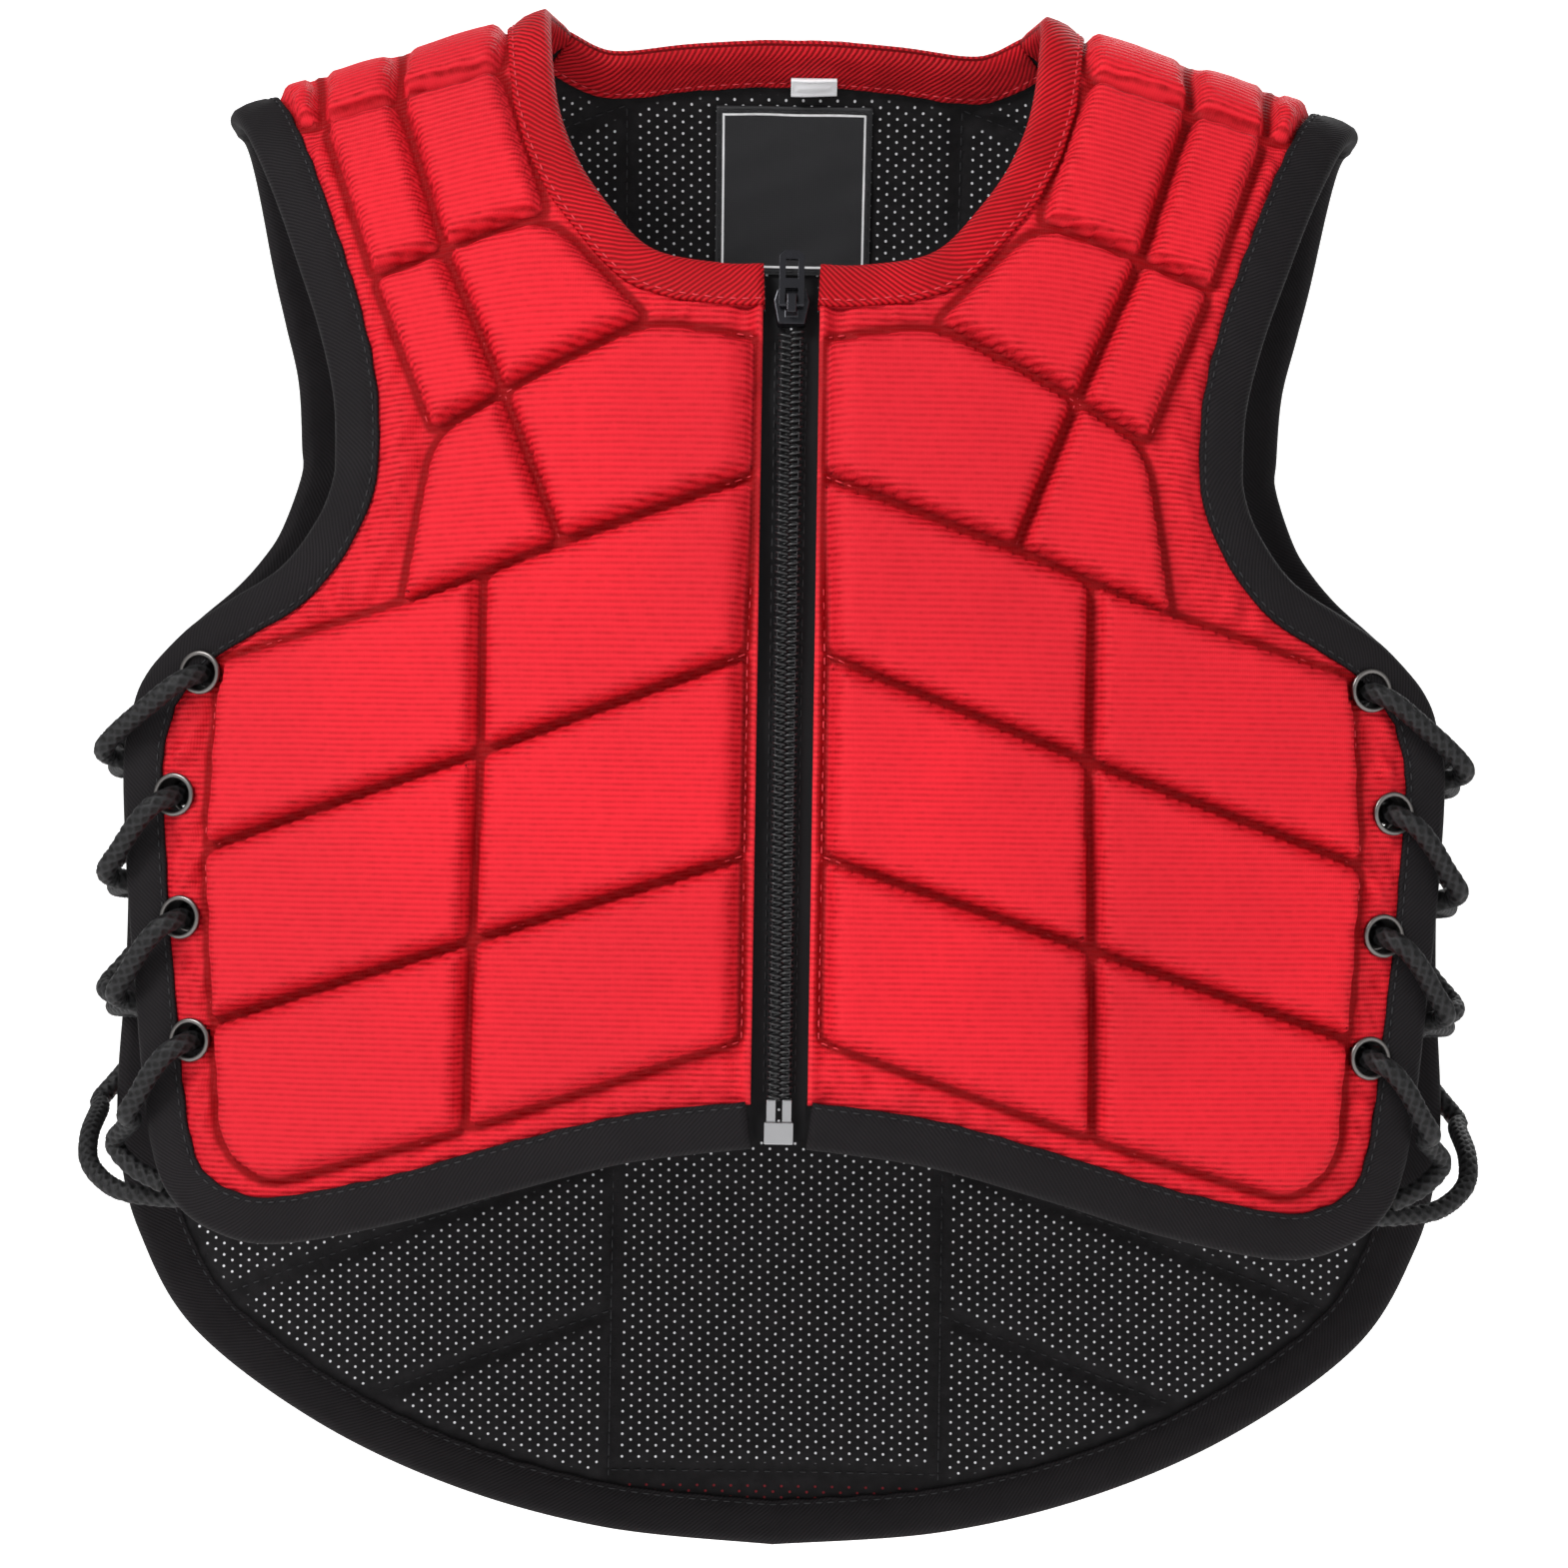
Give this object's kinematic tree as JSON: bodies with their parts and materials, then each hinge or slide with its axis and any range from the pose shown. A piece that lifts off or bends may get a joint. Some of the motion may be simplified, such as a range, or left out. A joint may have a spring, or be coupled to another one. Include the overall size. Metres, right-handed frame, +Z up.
{
  "type": "equestrian body protector",
  "caption": "Sleeveless padded riding vest with sewn foam pads, a front zip, bound edges, laced sides and a long rounded back.",
  "frame": {"origin": "midway between the two straps' crests, where the vest rests on the wearer's shoulders", "axes": "+Z up towards the neck, -Y out of the front with the zip, +X to the right of a viewer who faces the front"},
  "size_m": [0.3596, 0.1383, 0.3988],
  "materials": {
    "red_fabric": "matte woven cloth over foam pads",
    "lining_mesh": "matte perforated cloth",
    "black_binding": "matte twill tape",
    "red_binding": "matte ribbed tape",
    "zip_tape": "matte woven tape",
    "zip_coil": "satin plastic coil",
    "silver_metal": "polished",
    "black_metal": "satin black",
    "eyelet_metal": "satin gunmetal",
    "lace_braid": "matte braid",
    "label_fabric": "smooth matte cloth",
    "tag_fabric": "matte white ribbon"
  },
  "bodies": {
    "vest": {"front_shell_right": "red_fabric", "front_shell_left": "red_fabric", "back_shell": "red_fabric", "back_lining": "lining_mesh", "front_binding_right": "black_binding", "front_binding_left": "black_binding", "back_binding": "black_binding", "neck_binding_front_right": "red_binding", "neck_binding_front_left": "red_binding", "neck_binding_back": "red_binding", "zip_tape_right": "zip_tape", "zip_tape_left": "zip_tape", "zip_chain": "zip_coil", "zip_bottom_stop": "silver_metal", "zip_slider": "black_metal", "lace_right": "lace_braid", "lace_left": "lace_braid", "label_patch": "label_fabric", "neck_tag": "tag_fabric", "eyelet_front_right_1": "eyelet_metal", "eyelet_front_right_2": "eyelet_metal", "eyelet_front_right_3": "eyelet_metal", "eyelet_front_right_4": "eyelet_metal", "eyelet_front_left_1": "eyelet_metal", "eyelet_front_left_2": "eyelet_metal", "eyelet_front_left_3": "eyelet_metal", "eyelet_front_left_4": "eyelet_metal", "eyelet_back_right_1": "eyelet_metal", "eyelet_back_right_2": "eyelet_metal", "eyelet_back_right_3": "eyelet_metal", "eyelet_back_right_4": "eyelet_metal", "eyelet_back_left_1": "eyelet_metal", "eyelet_back_left_2": "eyelet_metal", "eyelet_back_left_3": "eyelet_metal", "eyelet_back_left_4": "eyelet_metal"},
    "pull": {"zip_pull": "black_metal"}
  },
  "joints": [
    {"name": "pull_hinge", "type": "hinge", "parent": "vest", "child": "pull", "pos_m": [0, -0.05531, -0.05905], "axis": [1, 0, 0], "range_deg": [0, 150]}
  ]
}
